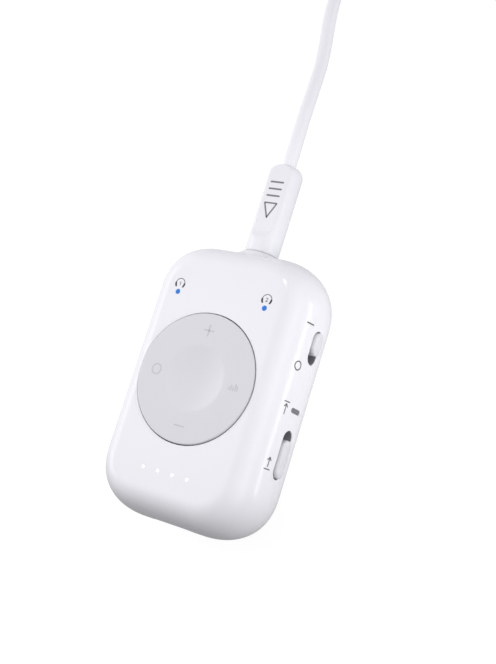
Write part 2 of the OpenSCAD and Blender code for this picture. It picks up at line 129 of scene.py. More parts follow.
class Solid:
    """Points and faces of one closed mesh, gathered patch by patch, in millimetres."""

    def __init__(self):
        self.points = []
        self.faces = []
        self.count = 0

    def add_points(self, points):
        """Adds an array of points and returns their numbers in the same layout."""
        points = np.asarray(points, float)
        flat = points.reshape(-1, 3)
        numbers = self.count + np.arange(len(flat))
        self.points.append(flat)
        self.count += len(flat)
        return numbers.reshape(points.shape[:-1])

    def add_faces(self, faces):
        """Adds faces given as point numbers."""
        self.faces += np.asarray(faces).tolist()

    def join(self, rings):
        """Quads between each ring of point numbers and the next one."""
        for one, two in zip(rings, rings[1:]):
            self.add_faces(np.stack([one, np.roll(one, -1), np.roll(two, -1), two], -1))

    def skin(self, loops, close=True):
        """Quads over a stack of loops, and a fan to the middle of the first and last one."""
        numbers = self.add_points(loops)
        self.add_faces(grid_faces(len(loops), loops.shape[1], numbers[0, 0]))
        if close:
            ends = self.add_points(np.stack([loops[0].mean(0), loops[-1].mean(0)]))
            self.add_faces(cap_faces(numbers[0], ends[0], True))
            self.add_faces(cap_faces(numbers[-1], ends[1], False))
        return numbers

    def mesh(self, name, sharp=40):
        """Makes the Blender object: welded, normals out, smooth but for edges over an angle."""
        data = bpy.data.meshes.new(name)
        data.from_pydata((np.concatenate(self.points) * MM).tolist(), [], self.faces)
        data.validate()
        piece = new_object(name, data)
        weld_and_face_out(data)
        data.shade_smooth()
        data.set_sharp_from_angle(angle=math.radians(sharp))
        return piece


def weld_and_face_out(data, distance=0.0004 * MM):
    """Merges points closer than a distance and turns every closed shell's faces outward."""
    work = bmesh.new()
    work.from_mesh(data)
    bmesh.ops.remove_doubles(work, verts=work.verts, dist=distance)
    bmesh.ops.dissolve_degenerate(work, edges=work.edges, dist=distance / 4)
    bmesh.ops.recalc_face_normals(work, faces=work.faces)
    work.to_mesh(data)
    work.free()


def report(piece):
    """Prints how many faces a piece has and its size, and returns it."""
    bpy.context.view_layer.update()
    size = [round(side / MM, 2) for side in piece.dimensions]
    print(f"{piece.name}: {len(piece.data.polygons)} faces, {size} mm")
    return piece


# %% [markdown]
# ## The cable
# The cable is a real length of soft jacketed wire: it leaves the plug, bends down to the
# table and runs on to a small storage coil, then ends in a second plug. Its route is a
# list of chosen points for the free stretches and a formula for the coil's turns, joined
# into one open curve. A curve with a round bevel keeps the same thickness everywhere.

# %% Cable route
CORD_D = 2.7
COIL_AT = (9.7, 106)
COIL_RADII = (16.2, 13.5)
COIL_LAYERS = (1.65, 4.35)
TURNS, POINTS_PER_TURN = 3.75, 24
STEP_IN, STEP_OUT, CLIMB = (0.86, 1.0), (2.65, 2.8), (1.78, 1.94)    # counted in turns

lead_route = np.array([
    [0, 45, 9], [0, 47, 9], [-0.3, 51, 8.6], [-1, 56, 7.6], [-2, 61, 5.9],
    [-3.1, 66, 4.0], [-4.2, 71, 2.3], [-5.2, 76, 1.5], [-6, 81, 1.4], [-6.4, 86, 1.4],
    [-6.5, 91, 1.4], [-6.5, 96, 1.5], [-6.5, 101, 1.6], [-6.5, 106, 1.65],
])
tail_route = np.array([
    [9.7, 89.8, 4.35], [5, 89.8, 4.35], [0, 89.8, 4.35], [-5, 89.8, 4.35],
    [-8.1, 90.4, 4.3], [-10.7, 92.1, 4.0], [-12.4, 94.7, 3.6], [-13, 97.8, 3.4],
    [-13, 100, 3.35],
])


def ease(x, low, high):
    """0 below low, 1 above high, and 3t^2 - 2t^3 in between."""
    t = np.clip((x - low) / (high - low), 0, 1)
    return t * t * (3 - 2 * t)


def coil_turns():
    """Clockwise turns: the angle falls steadily from 180 degrees, the radius drops by the
    cable's thickness as the first turn ends and returns late in the third, and the height
    rises to the upper layer as the second ends."""
    turns = np.arange(1, TURNS * POINTS_PER_TURN) / POINTS_PER_TURN
    step = COIL_RADII[0] - COIL_RADII[1]
    radius = COIL_RADII[0] - step * ease(turns, *STEP_IN) + step * ease(turns, *STEP_OUT)
    height = COIL_LAYERS[0] + (COIL_LAYERS[1] - COIL_LAYERS[0]) * ease(turns, *CLIMB)
    angle = math.pi - 2 * math.pi * turns
    return np.stack([COIL_AT[0] + radius * np.cos(angle),
                     COIL_AT[1] + radius * np.sin(angle), height], -1)


cord_points = np.concatenate([lead_route, coil_turns(), tail_route]) * MM
curve = bpy.data.curves.new("audio_cable", "CURVE")
curve.dimensions = "3D"
curve.bevel_depth = 1.0          # a unit circle, which each knot's radius scales down
curve.bevel_resolution = 6
curve.use_fill_caps = True
curve.resolution_u = 6
spline = curve.splines.new("BEZIER")
spline.bezier_points.add(len(cord_points) - 1)
spline.bezier_points.foreach_set("co", cord_points.ravel())
for knot in spline.bezier_points:
    knot.handle_left_type = knot.handle_right_type = "AUTO"
    knot.radius = CORD_D / 2 * MM
audio_cable = new_object("audio_cable", curve)
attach(audio_cable, "cable")
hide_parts("cord_lead", "cord_coil", "cord_tail")
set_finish(audio_cable, "cord_white")

# %% [markdown]
# ## The case's surface
# Seen from the front the case is a rounded rectangle, and from the end it is a capsule:
# every edge is half an ellipse. That is a formula, so the case needs no box to bevel.
# A point's *reach* is how far it lies outside a small core rectangle, measured with a
# superellipse rule so that the corners swell in softly from the straight sides. Height
# then follows from the reach by the ellipse, for the outer skin and the inner one alike.

# %% Case surface
shell_low, shell_high = box_mm("front_shell")
HALF_X, TOP_Z = shell_high[0], shell_high[2]
HALF_Y = -shell_low[1]
MID_Z = TOP_Z / 2
CORNER = 10.5
EDGE_IN = 5.2
WALL = 1.6
INNER_EDGE = 0.4                 # how much nearer the core the inner skin's edge begins
SOFTNESS = 2.3                   # 2 is a circular corner, more is fuller
CORE = np.array([HALF_X - CORNER, HALF_Y - CORNER])
SEAM_Z = shell_low[2]

# each skin: reach where its edge begins, how far the edge runs out, half its thickness
OUTER = (CORNER - EDGE_IN, EDGE_IN, MID_Z)
INNER = (CORNER - EDGE_IN - INNER_EDGE, EDGE_IN - WALL + INNER_EDGE, MID_Z - WALL)


def reach_of(x, y):
    """Distance outside the core: (dx^m + dy^m)^(1/m), dx and dy counted past the core."""
    past = np.maximum(np.abs(np.stack([x, y])) - CORE.reshape(2, *[1] * np.ndim(x)), 0)
    return (past ** SOFTNESS).sum(0) ** (1 / SOFTNESS)


def height_at(x, y, skin=OUTER):
    """Height of the upper skin: middle + t * sqrt(1 - ((reach - start) / run)^2)."""
    start, run, thick = skin
    out = np.clip((reach_of(x, y) - start) / run, 0, 1)
    return MID_Z + thick * np.sqrt(1 - out ** 2)


def reach_at(z, skin=OUTER):
    """The reach of the edge at a height, by the same ellipse."""
    start, run, thick = skin
    return start + run * np.sqrt(np.clip(1 - ((z - MID_Z) / thick) ** 2, 0, 1))


def side_at(y, z, skin=OUTER):
    """How far out the +X side stands at a point of its length and height."""
    past = np.maximum(np.abs(y) - CORE[1], 0)
    return CORE[0] + (reach_at(z, skin) ** SOFTNESS - past ** SOFTNESS) ** (1 / SOFTNESS)


def end_at(x, z, skin=OUTER):
    """How far out an end of the case stands at a point of its width and height."""
    past = np.maximum(np.abs(x) - CORE[0], 0)
    return CORE[1] + (reach_at(z, skin) ** SOFTNESS - past ** SOFTNESS) ** (1 / SOFTNESS)


print("case half sizes in mm:", HALF_X.round(2), HALF_Y.round(2), "seam at", SEAM_Z.round(2))

# %% [markdown]
# ## Columns round the case
# The skin's columns run round the outline, and its rows run from the dial's hole out to
# the edge and down to the seam. Columns on the straight sides keep their place along the
# side on every row, so a slot cut there meets the same columns inside and outside.

# %% Outline columns
SIDE_COLUMNS, END_COLUMNS, CORNER_COLUMNS = 96, 40, 30


def outline():
    """Core points and outward directions round one turn, from the middle of -X, clockwise
    from above: a straight keeps one direction, a corner keeps its core point and turns
    through (cos a)^(2/m), (sin a)^(2/m), which has length 1 by the superellipse rule."""
    quarter = np.linspace(0, math.pi / 2, CORNER_COLUMNS, endpoint=False)
    turn = np.stack([np.cos(quarter), np.sin(quarter)], -1) ** (2 / SOFTNESS)
    core, outward = [], []
    corner_dirs = {"x": turn, "y": turn[:, ::-1]}

    def straight(start, end, direction, count):
        part = np.linspace(0, 1, count, endpoint=False)[:, None]
        core.append(np.array(start) * (1 - part) + np.array(end) * part)
        outward.append(np.tile(direction, (count, 1)))

    def corner(sign, first):
        core.append(np.tile(CORE * sign, (CORNER_COLUMNS, 1)))
        outward.append(corner_dirs[first] * sign)

    x, y = CORE
    straight((-x, 0), (-x, y), (-1.0, 0), SIDE_COLUMNS // 2)
    corner((-1, 1), "x")
    straight((-x, y), (x, y), (0, 1.0), END_COLUMNS)
    corner((1, 1), "y")
    straight((x, y), (x, -y), (1.0, 0), SIDE_COLUMNS)
    corner((1, -1), "x")
    straight((x, -y), (-x, -y), (0, -1.0), END_COLUMNS)
    corner((-1, -1), "y")
    straight((-x, -y), (-x, 0), (-1.0, 0), SIDE_COLUMNS // 2)
    return np.concatenate(core), np.concatenate(outward)


core_xy, outward_xy = outline()
COLUMNS = len(core_xy)


def level(reach, z):
    """One loop round the case at a reach and a height."""
    flat = core_xy + np.asarray(reach) * outward_xy
    return np.column_stack([flat, np.full(COLUMNS, z)])


silhouette = level(CORNER, MID_Z)
toward = silhouette[:, :2] / np.linalg.norm(silhouette[:, :2], axis=1)[:, None]
print("columns round the case:", COLUMNS)

# %% [markdown]
# ## Windows through a wall
# Slots, ports and lamp holes go through the shell. A Boolean would cut them, but it leaves
# long thin faces that spoil a glossy surface, and no rounded rim. Here a patch of the grid
# is left out and a ring of new loops is stretched from its border to the true outline of
# the hole, over a small rounded lip, through the wall, and out to the inner skin's border.


# %% Window patch
def stadium_point(u, v, half, radius):
    """The nearest point of a stadium to (u, v): clamp u to the straight part, then step
    out by the radius. half is half the straight part's length."""
    on_line = np.clip(u, -half, half)
    out = np.stack([u - on_line, v], -1)
    out /= np.linalg.norm(out, axis=-1, keepdims=True)
    return np.stack([on_line, np.zeros_like(u)], -1) + radius * out


def border_numbers(rows, columns):
    """Grid positions round a rectangle of rows and columns, in order, without repeats."""
    r0, r1 = rows
    c0, c1 = columns
    across, down = np.arange(c0, c1 + 1), np.arange(r0, r1 + 1)
    row = np.concatenate([np.full(len(across), r0), down[1:], np.full(len(across) - 1, r1),
                          down[-2:0:-1]])
    column = np.concatenate([across, np.full(len(down) - 1, c1), across[-2::-1],
                             np.full(len(down) - 2, c0)])
    return row, column


CLOSING = (0.35, 0.7, 0.9)       # how far the loops round a window have closed on its lip
ON_SIDE, ON_END, ON_FACE = 12, 20, 14     # a point beyond this counts as on that wall


def cut_window(solid, outer, inner, numbers, kept, window):
    """Leaves a rectangle of cells out of both skins and joins the two borders with loops:
    a few on the outer skin closing in on the lip, the rings of the window's own profile,
    the hole's edge on the inner skin, and a few that open out again to the inner border."""
    place, spread = window["place"], window["margin"]
    half, radius = window["half"], window["radius"]
    local = window["local"](outer)
    near = ((np.abs(local[..., 0]) < half + radius + spread)
            & (np.abs(local[..., 1]) < radius + spread) & window["facing"](outer))
    rows, columns = np.where(near.any(1))[0], np.where(near.any(0))[0]
    span_r, span_c = (rows[0], rows[-1]), (columns[0], columns[-1])
    kept[span_r[0]:span_r[1], span_c[0]:span_c[1]] = False
    row, column = border_numbers(span_r, span_c)
    uv = window["local"](outer[row, column])
    inner_uv = window["local"](inner[row, column])
    rings = [numbers[0][row, column]]
    lip = window["profile"][0][0]
    for part in CLOSING:
        edge = stadium_point(uv[:, 0], uv[:, 1], half, radius + lip)
        rings.append(solid.add_points(place(uv * (1 - part) + edge * part, 0, 0, OUTER)))
    for offset, blend, lift in window["profile"]:
        edge = stadium_point(uv[:, 0], uv[:, 1], half, radius + offset)
        rings.append(solid.add_points(place(edge, blend, lift, OUTER)))
    hole = stadium_point(inner_uv[:, 0], inner_uv[:, 1], half, radius)
    for part in (0, 0.5):
        rings.append(solid.add_points(
            place(hole * (1 - part) + inner_uv * part, 0, 0, INNER)))
    rings.append(numbers[1][row, column])
    solid.join(rings)


def lip_profile(size, steps=4):
    """Rings of a rounded lip: offset from the hole's edge and lift above the surface
    follow a quarter circle, size * (1 - sin a) and -size * (1 - cos a)."""
    a = np.linspace(0, math.pi / 2, steps + 1)
    return [(size * (1 - s), 0, -size * (1 - c)) for s, c in zip(np.sin(a), np.cos(a))]


def side_window(y, z, half, radius, upright=False, lip=0.09, margin=0.6):
    """A stadium in the +X side, long along Y, or along Z if upright."""
    axes = (2, 1) if upright else (1, 2)
    centre = np.array([z, y]) if upright else np.array([y, z])

    def place(uv, blend, lift, skin):
        at = uv + centre
        y_z = at[:, ::-1] if upright else at
        return np.column_stack([side_at(y_z[:, 0], y_z[:, 1], skin) + lift, y_z])

    return {"local": lambda p: p[..., axes] - centre, "facing": lambda p: p[..., 0] > ON_SIDE,
            "place": place, "half": half, "radius": radius, "margin": margin,
            "profile": lip_profile(lip)}


def end_window(side, half, radius, profile, margin, top=0):
    """A stadium in an end of the case, long along X; side is -1 or 1. Its profile may
    blend from the skin to a flat face at top, which makes a raised collar."""
    def place(uv, blend, lift, skin):
        skin_y = end_at(uv[:, 0], uv[:, 1] + MID_Z, skin) * (1 - blend) + top * blend
        return np.column_stack([uv[:, 0], side * (skin_y + lift), uv[:, 1] + MID_Z])

    return {"local": lambda p: p[..., (0, 2)] - np.array([0, MID_Z]),
            "facing": lambda p: p[..., 1] * side > ON_END, "place": place,
            "half": half, "radius": radius, "margin": margin, "profile": profile}


def face_window(x, y, radius, lip=0.05, margin=0.75):
    """A round hole in the front face."""
    centre = np.array([x, y])

    def place(uv, blend, lift, skin):
        at = uv + centre
        return np.column_stack([at, height_at(at[:, 0], at[:, 1], skin) + lift])

    return {"local": lambda p: p[..., :2] - centre, "facing": lambda p: p[..., 2] > ON_FACE,
            "place": place, "half": 0, "radius": radius, "margin": margin,
            "profile": lip_profile(lip, 3)}


# %% [markdown]
# ## Front shell
# The deep half of the case is one moulding: outer skin, dial hole with a rounded rim,
# windows for the switches, microphone, ports and lamps, the seam's land, and the inner
# skin. Both skins share rows and columns, so every window goes straight through.

# %% Front shell skins
dial_high = box_mm("nav_disc")[1]
FLANGE_R = dial_high[0]
DIAL_R = FLANGE_R - 1.0
HOLE_R = DIAL_R + 0.18
FRONT_IN = TOP_Z - WALL
RIM_LIP = 0.08
TOP_ROWS, LOW_ROWS = 46, 22


def upper_rows(rim, skin):
    """Rows from the dial hole to the widest line: a point moves from the rim to the
    outline by sin(90 t), which gathers rows where the edge turns down, and takes its
    height from the skin."""
    edge = level(skin[0] + skin[1], MID_Z)[:, :2]
    t = np.linspace(0, 1, TOP_ROWS + 1)[:, None, None]
    flat = rim * toward + (edge - rim * toward) * np.sin(t * math.pi / 2)
    return np.concatenate([flat, height_at(flat[..., 0], flat[..., 1], skin)[..., None]], -1)


def lower_rows(skin, bottom):
    """Rows from below the widest line to a height, at even angles of the edge's ellipse."""
    start, run, thick = skin
    last = math.asin((bottom - MID_Z) / thick)
    angles = np.linspace(0, last, LOW_ROWS + 1)[1:]
    return np.stack([level(start + run * math.cos(a), MID_Z + thick * math.sin(a))
                     for a in angles])


def lamp_places():
    """Middles of the two signal lamps and the four battery lamps, from their light guides."""
    signal_low, signal_high = box_mm("blue_led_lenses")
    bar_low, bar_high = box_mm("battery_light_guide")
    signal_x = signal_high[0] - 1.0
    signal_y = (signal_low[1] + signal_high[1]) / 2
    battery_y = (bar_low[1] + bar_high[1]) / 2
    pitch = bar_high[0] / 2
    signals = [(-signal_x, signal_y), (signal_x, signal_y)]
    return signals, [(pitch * k, battery_y) for k in (-1.5, -0.5, 0.5, 1.5)]


signal_at, battery_at = lamp_places()
SIGNAL_R, BATTERY_R = 0.475, 0.33
SLOT_R = 1.6
power_slot = {"y": 11.4, "half": 1.55}
mode_slot = {"y": -8.55, "half": 2.9}
MIC_Y, MIC_HALF, MIC_R = -0.5, 1.25, 0.45
PORT_HALF, PORT_R = 2.84, 1.83
JACK_HOLE_R, COLLAR_R = 2.7, 3.6
JACK_SIDE_TOP = shell_high[1]


def collar_profile(foot=1.3, lip=0.12):
    """Rings of the jack's collar: from the skin it sweeps up to a flat top as
    (1 - s)^2.4, then over a rounded inner lip into the hole."""
    rim = COLLAR_R - JACK_HOLE_R
    s = np.linspace(1, 0, 9)
    sweep = [(rim + foot * k, (1 - k) ** 2.4, 0) for k in s]
    sweep[-1] = (rim, 1, -0.05)
    return sweep + [(rim - 0.06, 1, 0)] + [(o, 1, l) for o, _, l in lip_profile(lip)]


windows = [
    side_window(power_slot["y"], MID_Z, power_slot["half"], SLOT_R),
    side_window(mode_slot["y"], MID_Z, mode_slot["half"], SLOT_R),
    side_window(MIC_Y, MID_Z, MIC_HALF, MIC_R, upright=True, lip=0.08),
    end_window(-1, PORT_HALF, PORT_R, lip_profile(0.35), 1.0),
    end_window(1, 0, JACK_HOLE_R, collar_profile(), 3.1, top=JACK_SIDE_TOP),
]
windows += [face_window(x, y, SIGNAL_R + 0.02) for x, y in signal_at]
windows += [face_window(x, y, BATTERY_R + 0.02) for x, y in battery_at]

# %% Front shell mesh
SEAM_CHAMFER = 0.1


def front_shell():
    """Both skins with their windows, the dial hole's wall and the seam's land."""
    solid = Solid()
    outer = np.concatenate([upper_rows(HOLE_R + RIM_LIP, OUTER),
                            lower_rows(OUTER, SEAM_Z + SEAM_CHAMFER)])
    inner = np.concatenate([upper_rows(HOLE_R, INNER), lower_rows(INNER, SEAM_Z)])
    from_axis = np.linalg.norm(inner[..., :2], axis=-1)
    pocket = 1 - ease(from_axis, FLANGE_R + 0.2, FLANGE_R + 1.0)
    upper = np.arange(len(inner))[:, None] <= TOP_ROWS // 2
    inner[..., 2] = np.where(upper, inner[..., 2] * (1 - pocket) + FRONT_IN * pocket,
                             inner[..., 2])
    numbers = [solid.add_points(outer), solid.add_points(inner)]
    kept = np.ones((len(outer) - 1, COLUMNS), bool)
    for window in windows:
        cut_window(solid, outer, inner, numbers, kept, window)
    for grid in numbers:
        faces = grid_faces(len(outer), COLUMNS, grid[0, 0])
        solid.add_faces(faces[kept.ravel()])
    rim = [numbers[0][0]]
    for offset, _, lift in lip_profile(RIM_LIP)[1:]:
        flat = (HOLE_R + offset) * toward
        z = height_at(flat[:, 0], flat[:, 1]) + lift
        rim.append(solid.add_points(np.column_stack([flat, z])))
    rim.append(numbers[1][0])
    seam_reach = reach_at(SEAM_Z)
    seam = [numbers[0][-1], solid.add_points(level(seam_reach - SEAM_CHAMFER, SEAM_Z)),
            numbers[1][-1]]
    solid.join(rim)
    solid.join(seam)
    return solid


AXIS = 0.02                      # turned pieces begin this far from their axis


def turned(profile, sides):
    """Loops of a turned piece: each profile point (radius, height) becomes a circle."""
    profile = np.asarray(profile, float)
    flat = profile[:, None, :1] * circle(sides)
    heights = np.broadcast_to(profile[:, None, 1:], flat.shape[:2] + (1,))
    return np.concatenate([flat, heights], -1)


shell = front_shell()
BOSS_X, BOSS_Y, BOSS_R, PILOT_R, BOSS_TOP = 11.3, 19.8, 1.8, 0.7, 15
main_top = box_mm("main_pcb")[1][2]
boss = turned([(PILOT_R, main_top), (BOSS_R - 0.1, main_top), (BOSS_R, main_top + 0.1),
               (BOSS_R, BOSS_TOP), (PILOT_R, BOSS_TOP), (PILOT_R, main_top)], 40)
for side_x in (-1, 1):
    for side_y in (-1, 1):
        shell.skin(boss + np.array([side_x * BOSS_X, side_y * BOSS_Y, 0]), close=False)
case_front = report(shell.mesh("case_front"))
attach(case_front, "case")
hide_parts("front_shell")
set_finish(case_front, "case_white")

# %% [markdown]
# ## Rear cover
# The thin back closes the case and locates in the front half with an upstanding lip. Its
# loops run from the middle of the back, round the edge, over the land and the lip and
# down to the inside floor; fans close both middles.

# %% Rear cover
LIP_REACH, LIP_T, LIP_TOP = 6.4, 0.9, box_mm("rear_cover")[1][2]
COVER_TOP = SEAM_Z - 0.1


def cover_loops():
    """The cover's section, carried round the case's outline."""
    start, run, thick = OUTER
    last = math.asin((COVER_TOP - SEAM_CHAMFER - MID_Z) / thick)
    edge = [(start + run * math.cos(a), MID_Z + thick * math.sin(a))
            for a in np.linspace(-math.pi / 2, last, 18)]
    inside, lead_in, cut = LIP_REACH - LIP_T, 0.15, 0.1
    section = [(0, 0), (start / 2, 0)] + edge + [
        (reach_at(COVER_TOP) - SEAM_CHAMFER, COVER_TOP),
        (LIP_REACH, COVER_TOP), (LIP_REACH, LIP_TOP - lead_in),
        (LIP_REACH - lead_in, LIP_TOP), (inside + cut, LIP_TOP), (inside, LIP_TOP - cut),
        (inside, WALL + 0.08), (start - INNER_EDGE, WALL), (0, WALL)]
    return np.stack([level(reach, z) for reach, z in section])


cover = Solid()
cover.skin(cover_loops())
case_rear = report(cover.mesh("case_rear"))
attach(case_rear, "case")
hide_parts("rear_cover")
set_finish(case_rear, "case_white")

# %% [markdown]
# ## Dial
# The dial is turned about its own axis: a thumb dish shaped like a shallow lens, a flat
# ring, a rounded rim, and below the case wall a flange that keeps it from lifting out.
# The dish and the ring are joined by a rule that rounds the corner between them.

# %% Dial
DIAL_TOP = dial_high[2]
DISH_R, DISH_DEPTH, DISH_SOFT = 6.15, 0.7, 0.05
KEY_R = 8.75
PIVOT_Z, SOCKET_R, HUB_R, RIM_R = 14.9, 1.3, 2.4, 0.22
FLANGE_Z = (FRONT_IN - 1.0, FRONT_IN - 0.45)
DIAL_UNDER = FRONT_IN + 0.2
KEY_TRAVEL = 0.2
FOOT_Z, FOOT_R = box_mm("tact_plungers")[1][2] + KEY_TRAVEL, 1.0


def dial_height(r):
    """Top of the dial at a radius. s = depth * (1 - (r / R)^2) is the lens shape; the
    surface lies (s + sqrt(s^2 + w^2)) / 2 below the top, which is s inside the dish,
    nothing outside, and round between."""
    s = DISH_DEPTH * (1 - (np.asarray(r) / DISH_R) ** 2)
    return DIAL_TOP - (s + np.sqrt(s ** 2 + DISH_SOFT ** 2)) / 2


def dial_profile():
    """The dial's half section, from the top's middle over the rim to the ball socket."""
    radii = np.concatenate([np.linspace(0.05, 5.6, 26), np.linspace(5.7, 6.6, 19),
                            np.linspace(6.9, DIAL_R - 0.25, 22)])
    rim = [(DIAL_R - RIM_R + RIM_R * math.sin(a), DIAL_TOP - RIM_R + RIM_R * math.cos(a))
           for a in np.linspace(0.15, math.pi / 2, 7)]
    under = [(DIAL_R, FLANGE_Z[1]), (FLANGE_R, FLANGE_Z[1]), (FLANGE_R, FLANGE_Z[0]),
             (DIAL_R - 1, FLANGE_Z[0]), (DIAL_R - 1, DIAL_UNDER), (HUB_R, DIAL_UNDER),
             (HUB_R, PIVOT_Z + 0.1)]
    socket = [(SOCKET_R * math.cos(a), PIVOT_Z + SOCKET_R * math.sin(a))
              for a in np.linspace(0.077, math.pi / 2 - 0.05, 12)]
    return [*zip(radii, dial_height(radii)), *rim, *under, *socket]


dial = Solid()
dial.skin(turned(dial_profile(), 192))
FOOT_CUT, FOOT_TOP = 0.15, DIAL_UNDER + 0.2
foot = turned([(AXIS, FOOT_Z), (FOOT_R - FOOT_CUT, FOOT_Z), (FOOT_R, FOOT_Z + FOOT_CUT),
               (FOOT_R, FOOT_TOP), (AXIS, FOOT_TOP)], 32)
for spot in circle(4):
    dial.skin(foot + KEY_R * np.array([*spot, 0]))
dial_piece = report(dial.mesh("dial"))
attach(dial_piece, "dial")
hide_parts("nav_disc")
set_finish(dial_piece, "dial_grey")

# %% [markdown]
# ## Printed marks
# The marks on the real thing are pad printed: a film of ink a few hundredths of a
# millimetre thick. An image would do, but it would not survive as a mesh, so each stroke
# here is a thin closed band with round ends, laid on the surface it is printed on. Words
# are replaced by plain signs: a bar and a ring for on and off, and arrows that run into
# and out of a line for receive and send.

# %% Stroke builder
INK = 0.02                       # how far a printed mark stands proud
ROOT = 0.06                      # how deep its underside sits, so that no light gets below


def refine(path, step=0.1):
    """Points every step or so along a path, at equal distances from corner to corner."""
    path = np.asarray(path, float)
    side = np.linalg.norm(np.diff(path, axis=0), axis=1)
    along = np.concatenate([[0], np.cumsum(side)])
    even = np.linspace(0, along[-1], max(2, int(along[-1] / step) + 1))
    return np.stack([np.interp(even, along, path[:, k]) for k in (0, 1)], -1)


def stroke(solid, path, width, place, closed=False, ink=INK):
    """A band of one width along a path on a surface. Across the path each section is a
    low rectangle; at a free end the width follows a half circle, w * cos a at w * sin a
    beyond the end. place(uv, lift) puts a flat point on the surface."""
    path = refine(path)
    ahead = np.gradient(path, axis=0)
    if closed:
        ahead = np.roll(path[:-1], -1, 0) - np.roll(path[:-1], 1, 0)
        ahead = np.concatenate([ahead, ahead[:1]])
    ahead /= np.linalg.norm(ahead, axis=1)[:, None]
    half = np.full(len(path), width / 2)
    if not closed:
        a = np.radians([80, 60, 40, 20])[:, None]
        first = path[0] - ahead[0] * width / 2 * np.sin(a)
        last = path[-1] + ahead[-1] * width / 2 * np.sin(a[::-1])
        path = np.concatenate([first, path, last])
        ahead = np.concatenate([np.repeat(ahead[:1], 4, 0), ahead, np.repeat(ahead[-1:], 4, 0)])
        taper = width / 2 * np.cos(a[:, 0])
        half = np.concatenate([taper, half, taper[::-1]])
    across = np.stack([-ahead[:, 1], ahead[:, 0]], -1) * half[:, None]
    left, right = path + across, path - across
    loops = np.stack([place(left, -ROOT), place(left, ink), place(right, ink),
                      place(right, -ROOT)], 1)
    solid.skin(loops, close=not closed)


def arc(centre, radius, start, end, count=24):
    """Points of an arc between two angles in degrees."""
    a = np.radians(np.linspace(start, end, count))
    return np.array(centre) + radius * np.stack([np.cos(a), np.sin(a)], -1)


def on_face(x, y):
    """Puts a flat point on the front face round a centre."""
    def place(uv, lift):
        at = uv + np.array([x, y])
        return np.column_stack([at, height_at(at[:, 0], at[:, 1]) + lift])
    return place


def on_dial(x, y):
    """Puts a flat point on the dial's top round a centre."""
    def place(uv, lift):
        at = uv + np.array([x, y])
        return np.column_stack([at, dial_height(np.linalg.norm(at, axis=1)) + lift])
    return place


def on_shoulder(y, z):
    """Puts a flat point on the switch side: u runs along the case, v up the edge. The
    slope of the edge there turns v into height, and ink stands off along the normal."""
    start, run, thick = OUTER
    a = math.asin((z - MID_Z) / thick)
    slope = np.array([-run * math.sin(a), thick * math.cos(a)])
    slope /= np.linalg.norm(slope)

    def place(uv, lift):
        side_y, side_z = y + uv[:, 0], z + uv[:, 1] * slope[1]
        return np.column_stack([side_at(side_y, side_z) + lift * slope[1], side_y,
                                side_z - lift * slope[0]])
    return place


def print_mark(name, body, strokes, place, slot="black_plastic"):
    """One printed mark from strokes of (path, width, closed)."""
    solid = Solid()
    for path, width, closed in strokes:
        stroke(solid, path, width, place, closed)
    mark = report(solid.mesh(name, 60))
    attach(mark, body)
    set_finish(mark, slot)
    return mark


# %% Marks on the dial
SIGN, LINE = 1.0, 0.26
MARK_X, MARK_Y = 8.45, 8.95
BAR_STEP, BAR_FOOT, BARS = 0.42, -0.55, (0.5, 0.9, 0.55, 1.2, 0.8)
level_line = ([(-SIGN, 0), (SIGN, 0)], LINE, False)
dial_signs = {
    "mark_plus": (0, MARK_Y, [level_line, ([(0, -SIGN), (0, SIGN)], LINE, False)]),
    "mark_minus": (0, -MARK_Y, [level_line]),
    "mark_round_button": (-MARK_X, 0, [(arc((0, 0), 0.95, 0, 360, 48), LINE, True)]),
    "mark_bars": (MARK_X, 0, [
        ([(BAR_STEP * (k - 2), BAR_FOOT), (BAR_STEP * (k - 2), BAR_FOOT + tall)], 0.2, False)
        for k, tall in enumerate(BARS)]),
}
dial_marks = [print_mark(name, "dial", strokes, on_dial(x, y), "dial_grey")
              for name, (x, y, strokes) in dial_signs.items()]


# %% Headphone marks over the signal lamps
BAND_R, ABOVE_LAMP = 0.98, 1.58
THIN, CUP = 0.13, 0.36           # widths of the head band and of the cups at its ends
numerals = {
    1: [(-0.12, 0.2), (0.04, 0.33), (0.04, -0.33)],
    2: [*arc((0, 0.14), 0.19, 160, -40, 9), (-0.2, -0.33), (0.22, -0.33)],
}
ink_marks = []
for number, (x, y) in zip((1, 2), signal_at):
    strokes = [(arc((0, 0), BAND_R, -28, 208, 40), THIN, False),
               *((arc((0, 0), BAND_R - 0.04, start, start + 38, 8), CUP, False)
                 for start in (-36, 178)),
               (numerals[number], 0.1, False)]
    ink_marks.append(print_mark(f"mark_headphone_{number}", "case", strokes,
                                on_face(x, y + ABOVE_LAMP)))


# %% Signs beside the switches
TALL, BOLD = 0.72, 0.2
arrow_head = [(0.25, 0.42), (0.78, 0), (0.25, -0.42)]
receive = [([(-1.1, 0), (0.7, 0)], BOLD, False), (arrow_head, BOLD, False),
           ([(1.15, -TALL), (1.15, TALL)], BOLD, False)]
send = [([(-0.5, 0), (1.1, 0)], BOLD, False),
        ([(u + 0.4, v) for u, v in arrow_head], BOLD, False),
        ([(-1.0, -TALL), (-1.0, TALL)], BOLD, False)]
side_signs = {
    "mark_on": (15.04, 12.53, [([(0, -1.2 * TALL), (0, 1.2 * TALL)], 0.26, False)]),
    "mark_off": (7.18, 12.56, [(arc((0, 0), 1.1 * TALL, 0, 360, 40), 0.22, True)]),
    "mark_receive": (-0.6, 12.49, receive),
    "mark_send": (-10.77, 12.56, send),
}
for name, (y, z, strokes) in side_signs.items():
    ink_marks.append(print_mark(name, "case", strokes, on_shoulder(y, z)))


# %% [markdown]
# ## Slide switches
# Each knob is a soft pill that slides in a dark tub behind its slot. The pill is built
# from stadium outlines that shrink as they rise, so its edge is a quarter circle and its
# top a shallow crown. The tub's thin wall lines the slot, which is why only the very rim
# of the slot looks white.


